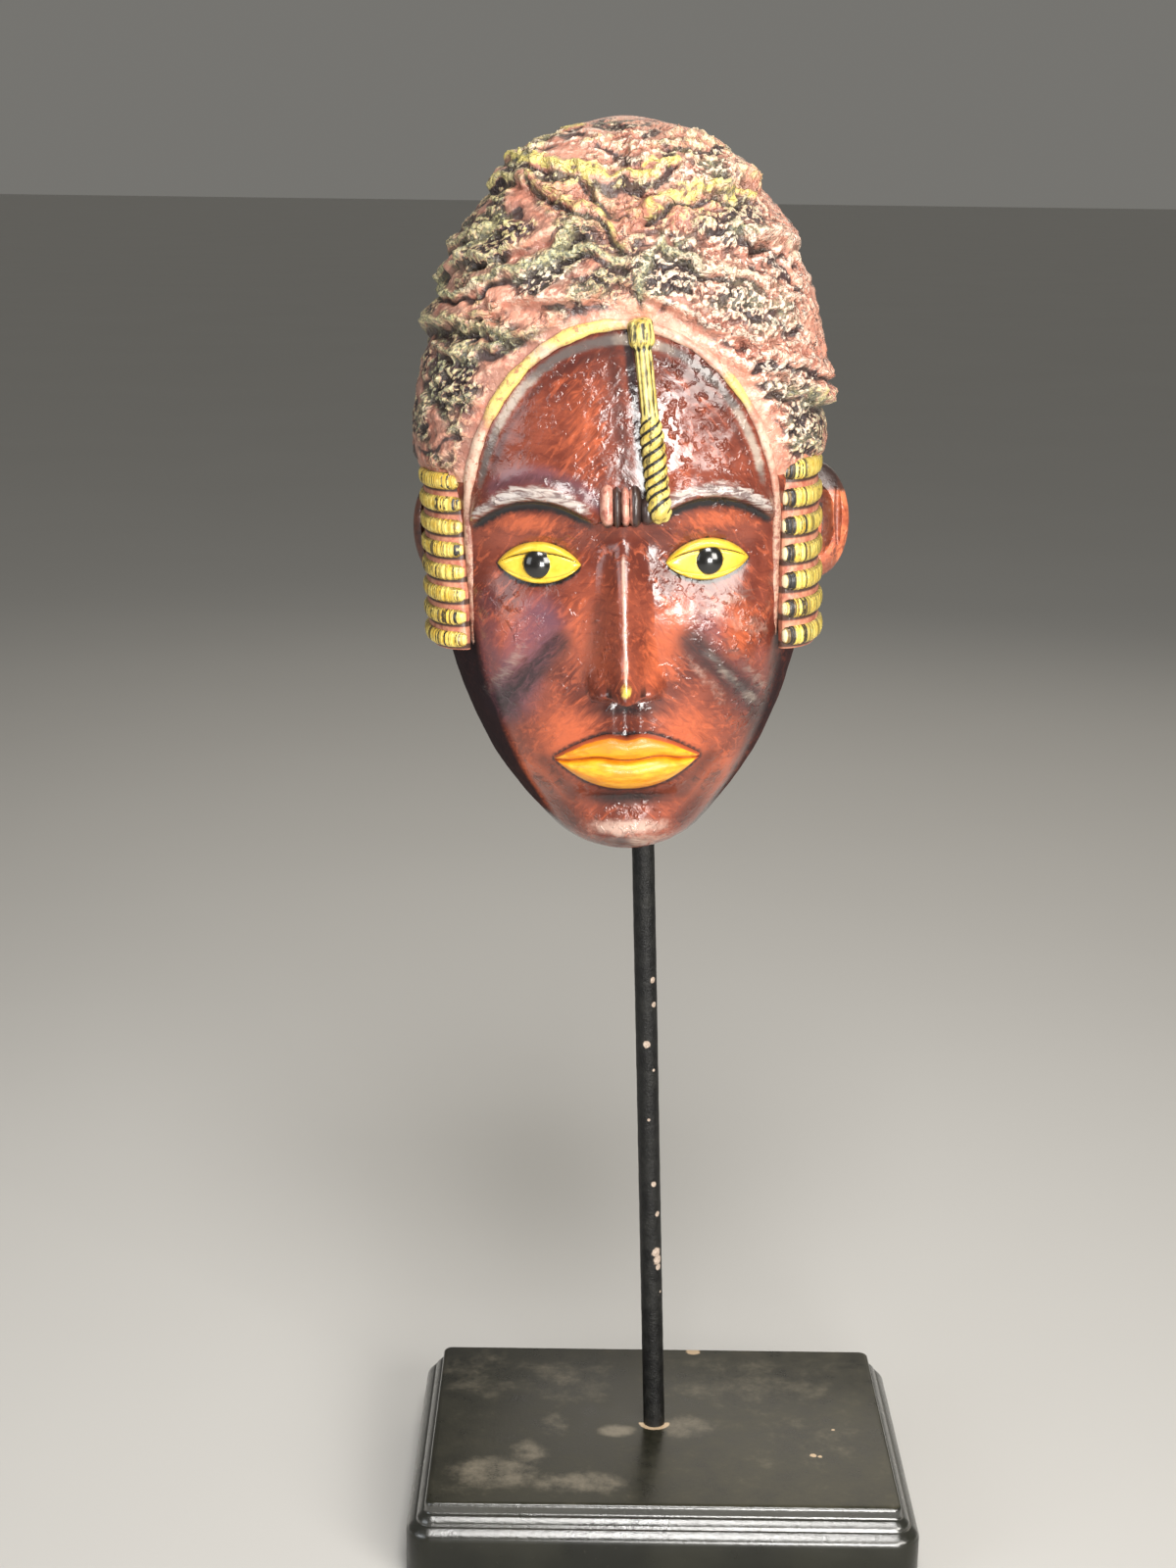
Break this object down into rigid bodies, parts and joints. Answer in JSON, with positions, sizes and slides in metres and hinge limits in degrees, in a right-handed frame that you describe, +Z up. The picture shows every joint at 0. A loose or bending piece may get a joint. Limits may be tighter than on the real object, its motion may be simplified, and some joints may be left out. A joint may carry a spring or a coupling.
{
  "type": "dan mask on a stand",
  "caption": "Painted cast face mask with a tall cap of hair, a braid and wrapped rolls, held upright by a leaning rod on a moulded rectangular base.",
  "frame": {"origin": "middle of the base's underside", "axes": "+Z up, the face looks along -Y, +X to the right as seen from the front"},
  "size_m": [0.137, 0.0974, 0.3756],
  "materials": {
    "painted_cast": "hand painted under gloss varnish",
    "black_steel": "satin black paint with small chips",
    "black_lacquer": "satin black lacquer"
  },
  "bodies": {
    "root": {"mask": "painted_cast", "rod": "black_steel", "base": "black_lacquer"}
  },
  "joints": []
}
